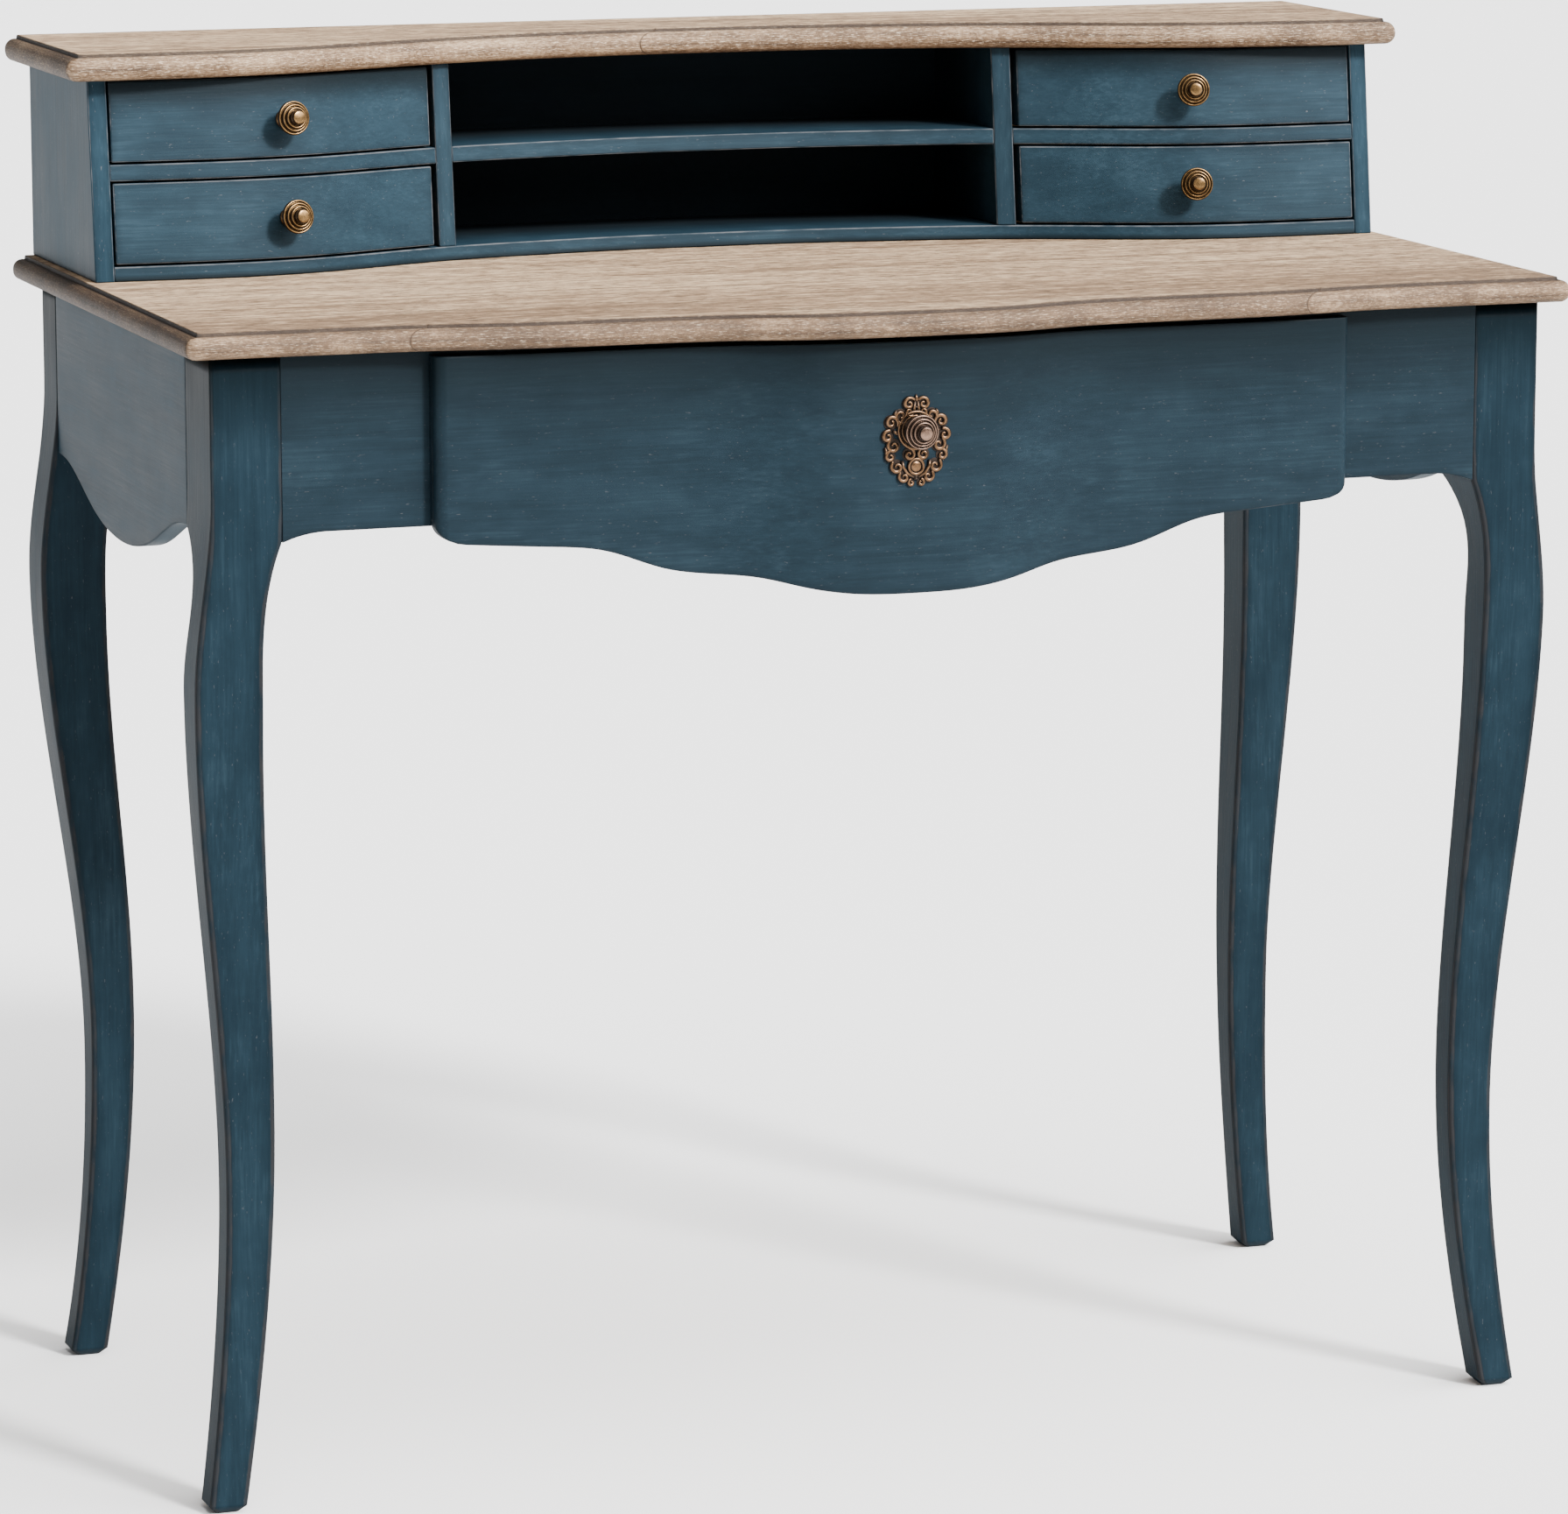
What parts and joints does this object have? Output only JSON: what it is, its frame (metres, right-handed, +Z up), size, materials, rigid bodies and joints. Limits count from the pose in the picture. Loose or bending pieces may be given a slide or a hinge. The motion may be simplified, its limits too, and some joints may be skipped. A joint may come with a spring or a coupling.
{
  "type": "secretary desk",
  "caption": "Serpentine writing desk on cabriole legs with a wide drawer, and a low hutch of small drawers and pigeonholes along its back.",
  "frame": {"origin": "centre of the bounding box at floor level", "axes": "+Z up, the drawers open towards -Y, +X to the right of a person sitting at the desk"},
  "size_m": [0.964, 0.519, 0.93],
  "materials": {
    "blue_paint_on_wood": "satin chalk paint, deep petrol blue",
    "weathered_oak": "greyed, limed oak",
    "bare_wood": "unfinished",
    "antique_brass": "dark antique",
    "steel": "zinc plated"
  },
  "bodies": {
    "desk": {"back_apron": "blue_paint_on_wood", "corner_blocks": "bare_wood", "desk_top": "weathered_oak", "drawer_kickers": "bare_wood", "drawer_rail_lower": "bare_wood", "drawer_rail_upper": "bare_wood", "drawer_runner_left": "bare_wood", "drawer_runner_right": "bare_wood", "front_apron_left": "blue_paint_on_wood", "front_apron_right": "blue_paint_on_wood", "hutch_back_panel": "blue_paint_on_wood", "hutch_bottom": "blue_paint_on_wood", "hutch_divider_left": "blue_paint_on_wood", "hutch_divider_right": "blue_paint_on_wood", "hutch_drawer_shelf_left": "blue_paint_on_wood", "hutch_drawer_shelf_right": "blue_paint_on_wood", "hutch_shelf": "blue_paint_on_wood", "hutch_side_left": "blue_paint_on_wood", "hutch_side_right": "blue_paint_on_wood", "hutch_top": "weathered_oak", "leg_back_left": "blue_paint_on_wood", "leg_back_right": "blue_paint_on_wood", "leg_front_left": "blue_paint_on_wood", "leg_front_right": "blue_paint_on_wood", "side_apron_left": "blue_paint_on_wood", "side_apron_right": "blue_paint_on_wood", "wood_screws": "steel"},
    "main_drawer": {"main_drawer_back": "bare_wood", "main_drawer_backplate": "antique_brass", "main_drawer_bottom": "bare_wood", "main_drawer_front": "blue_paint_on_wood", "main_drawer_inner_front": "bare_wood", "main_drawer_knob": "antique_brass", "main_drawer_knob_bolt": "steel", "main_drawer_side_left": "bare_wood", "main_drawer_side_right": "bare_wood"},
    "upper_left_drawer": {"upper_left_drawer_back": "bare_wood", "upper_left_drawer_bottom": "bare_wood", "upper_left_drawer_front": "blue_paint_on_wood", "upper_left_drawer_knob": "antique_brass", "upper_left_drawer_knob_bolt": "steel", "upper_left_drawer_sides": "bare_wood"},
    "upper_right_drawer": {"upper_right_drawer_back": "bare_wood", "upper_right_drawer_bottom": "bare_wood", "upper_right_drawer_front": "blue_paint_on_wood", "upper_right_drawer_knob": "antique_brass", "upper_right_drawer_knob_bolt": "steel", "upper_right_drawer_sides": "bare_wood"},
    "lower_left_drawer": {"lower_left_drawer_back": "bare_wood", "lower_left_drawer_bottom": "bare_wood", "lower_left_drawer_front": "blue_paint_on_wood", "lower_left_drawer_knob": "antique_brass", "lower_left_drawer_knob_bolt": "steel", "lower_left_drawer_sides": "bare_wood"},
    "lower_right_drawer": {"lower_right_drawer_back": "bare_wood", "lower_right_drawer_bottom": "bare_wood", "lower_right_drawer_front": "blue_paint_on_wood", "lower_right_drawer_knob": "antique_brass", "lower_right_drawer_knob_bolt": "steel", "lower_right_drawer_sides": "bare_wood"}
  },
  "joints": [
    {"name": "main_drawer_slide", "type": "slide", "parent": "desk", "child": "main_drawer", "axis": [0, -1, 0], "range_m": [0, 0.3]},
    {"name": "upper_left_drawer_slide", "type": "slide", "parent": "desk", "child": "upper_left_drawer", "axis": [0, -1, 0], "range_m": [0, 0.1]},
    {"name": "upper_right_drawer_slide", "type": "slide", "parent": "desk", "child": "upper_right_drawer", "axis": [0, -1, 0], "range_m": [0, 0.1]},
    {"name": "lower_left_drawer_slide", "type": "slide", "parent": "desk", "child": "lower_left_drawer", "axis": [0, -1, 0], "range_m": [0, 0.1]},
    {"name": "lower_right_drawer_slide", "type": "slide", "parent": "desk", "child": "lower_right_drawer", "axis": [0, -1, 0], "range_m": [0, 0.1]}
  ]
}
